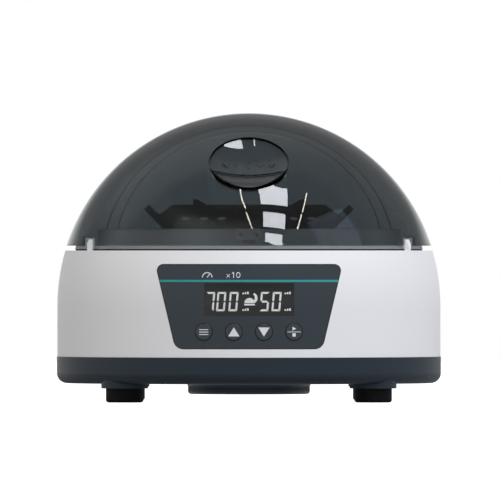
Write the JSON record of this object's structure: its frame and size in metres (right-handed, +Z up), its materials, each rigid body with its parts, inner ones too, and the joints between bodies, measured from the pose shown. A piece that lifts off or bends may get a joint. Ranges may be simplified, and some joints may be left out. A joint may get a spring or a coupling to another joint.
{
  "type": "mini centrifuge",
  "caption": "Small round bench centrifuge with a hinged smoked dome, press pad, square tube rotor, curved front panel with display and keys, and rubber feet.",
  "frame": {"origin": "on the bench under the middle of the round body", "axes": "+Z up along the rotor axis, front panel towards -Y, +X to the right seen from the front"},
  "size_m": [0.192, 0.1921, 0.1442],
  "materials": {
    "case_plastic": "white moulded plastic, fine satin",
    "base_plastic": "dark slate moulded plastic, satin",
    "chamber_plastic": "mid grey moulded plastic, satin",
    "gasket_foam": "dark closed foam",
    "smoked_plastic": "clear smoked plastic, polished",
    "black_plastic": "black moulded plastic",
    "white_plastic": "white slippery plastic",
    "rotor_plastic": "black moulded plastic, satin",
    "key_plastic": "dark slate key, satin",
    "panel_film": "dark slate printed film",
    "display_glass": "black polished window",
    "circuit_board": "green laminate",
    "board_parts": "moulded electronic parts",
    "ground_steel": "ground steel",
    "plated_steel": "zinc plated sheet",
    "hinge_metal": "dark painted metal",
    "motor_steel": "drawn steel can",
    "stator_steel": "stacked laminations",
    "magnet": "sintered magnet",
    "copper_wire": "enamelled winding",
    "screw_steel": "plated screw",
    "black_rubber": "black moulded rubber"
  },
  "bodies": {
    "casing": {"base_pan": "base_plastic", "board_screws": "screw_steel", "case_screws": "screw_steel", "chamber_bowl": "chamber_plastic", "chamber_gasket": "gasket_foam", "chamber_screws": "screw_steel", "control_board": "circuit_board", "damper_screws": "screw_steel", "display_module": "board_parts", "display_window": "display_glass", "driver_board": "circuit_board", "driver_parts": "board_parts", "driver_screws": "screw_steel", "foot_front_left": "black_rubber", "foot_front_right": "black_rubber", "foot_rear_left": "black_rubber", "foot_rear_right": "black_rubber", "foot_screws": "screw_steel", "front_label": "panel_film", "hinge_bracket": "hinge_metal", "hinge_pin": "ground_steel", "hinge_screws": "screw_steel", "key_switches": "board_parts", "latch_body": "black_plastic", "latch_screws": "screw_steel", "lid_switch": "black_plastic", "lower_bearing": "ground_steel", "motor_can": "motor_steel", "motor_dampers": "black_rubber", "motor_end_cap": "motor_steel", "motor_mount_plate": "plated_steel", "motor_screws": "screw_steel", "motor_windings": "copper_wire", "power_jack": "black_plastic", "stator_core": "stator_steel", "switch_body": "black_plastic", "upper_bearing": "ground_steel", "upper_housing": "case_plastic"},
    "lid": {"lid_shell": "smoked_plastic", "lid_striker": "black_plastic", "striker_screws": "screw_steel"},
    "rotor": {"strip_rotor": "rotor_plastic", "rotor_knob": "black_plastic", "motor_shaft": "ground_steel", "motor_magnet": "magnet"},
    "menu_key": {"menu_button": "key_plastic"},
    "up_key": {"up_button": "key_plastic"},
    "down_key": {"down_button": "key_plastic"},
    "start_key": {"start_button": "key_plastic"},
    "latch": {"latch_plunger": "white_plastic"},
    "mains_rocker": {"switch_rocker": "black_plastic"}
  },
  "joints": [
    {"name": "lid_hinge", "type": "hinge", "parent": "casing", "child": "lid", "pos_m": [0, 0.086, 0.08], "axis": [-1, 0, 0], "range_deg": [0, 80]},
    {"name": "rotor_spin", "type": "hinge", "parent": "casing", "child": "rotor", "pos_m": [0, 0, 0.085], "axis": [0, 0, 1], "continuous": true},
    {"name": "menu_button_press", "type": "slide", "parent": "casing", "child": "menu_key", "axis": [0, 1, 0], "range_m": [0, 0.0006], "stiffness_N_per_m": 1500},
    {"name": "up_button_press", "type": "slide", "parent": "casing", "child": "up_key", "axis": [0, 1, 0], "range_m": [0, 0.0006], "stiffness_N_per_m": 1500},
    {"name": "down_button_press", "type": "slide", "parent": "casing", "child": "down_key", "axis": [0, 1, 0], "range_m": [0, 0.0006], "stiffness_N_per_m": 1500},
    {"name": "start_button_press", "type": "slide", "parent": "casing", "child": "start_key", "axis": [0, 1, 0], "range_m": [0, 0.0006], "stiffness_N_per_m": 1500},
    {"name": "latch_press", "type": "slide", "parent": "casing", "child": "latch", "axis": [0, 0, -1], "range_m": [0, 0.002], "stiffness_N_per_m": 800},
    {"name": "mains_rocker_tilt", "type": "hinge", "parent": "casing", "child": "mains_rocker", "pos_m": [-0.022, 0.081, 0.0375], "axis": [-1, 0, 0], "range_deg": [0, 16]}
  ]
}
